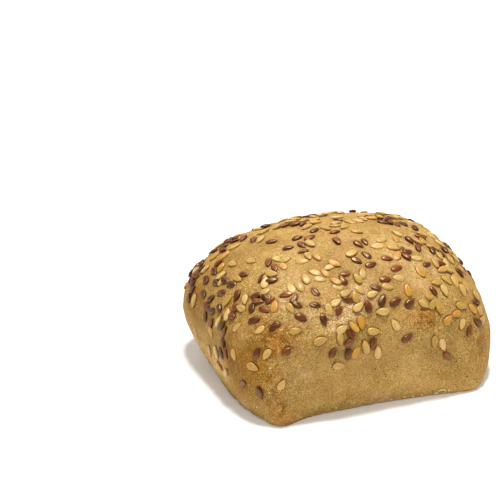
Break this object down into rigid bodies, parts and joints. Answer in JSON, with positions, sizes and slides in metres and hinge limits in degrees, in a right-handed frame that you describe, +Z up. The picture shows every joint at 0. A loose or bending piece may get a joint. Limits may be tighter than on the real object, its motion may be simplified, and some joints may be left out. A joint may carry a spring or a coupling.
{
  "type": "bread roll",
  "caption": "Squarish baked bread roll with a domed brown crust, bulging tucked-in sides, a pointed front corner and a thick scatter of brown linseed and pale seeds on top.",
  "frame": {"origin": "middle of the flat underside, under the middle of the roll's box", "axes": "+Z up out of the crown, +X along the longer side, -Y out of the long side that shows in the picture"},
  "size_m": [0.0989, 0.0819, 0.0508],
  "materials": {
    "crust": "satin baked crust, light brown with browner bumps, seeded"
  },
  "bodies": {
    "root": {"roll": "crust"}
  },
  "joints": []
}
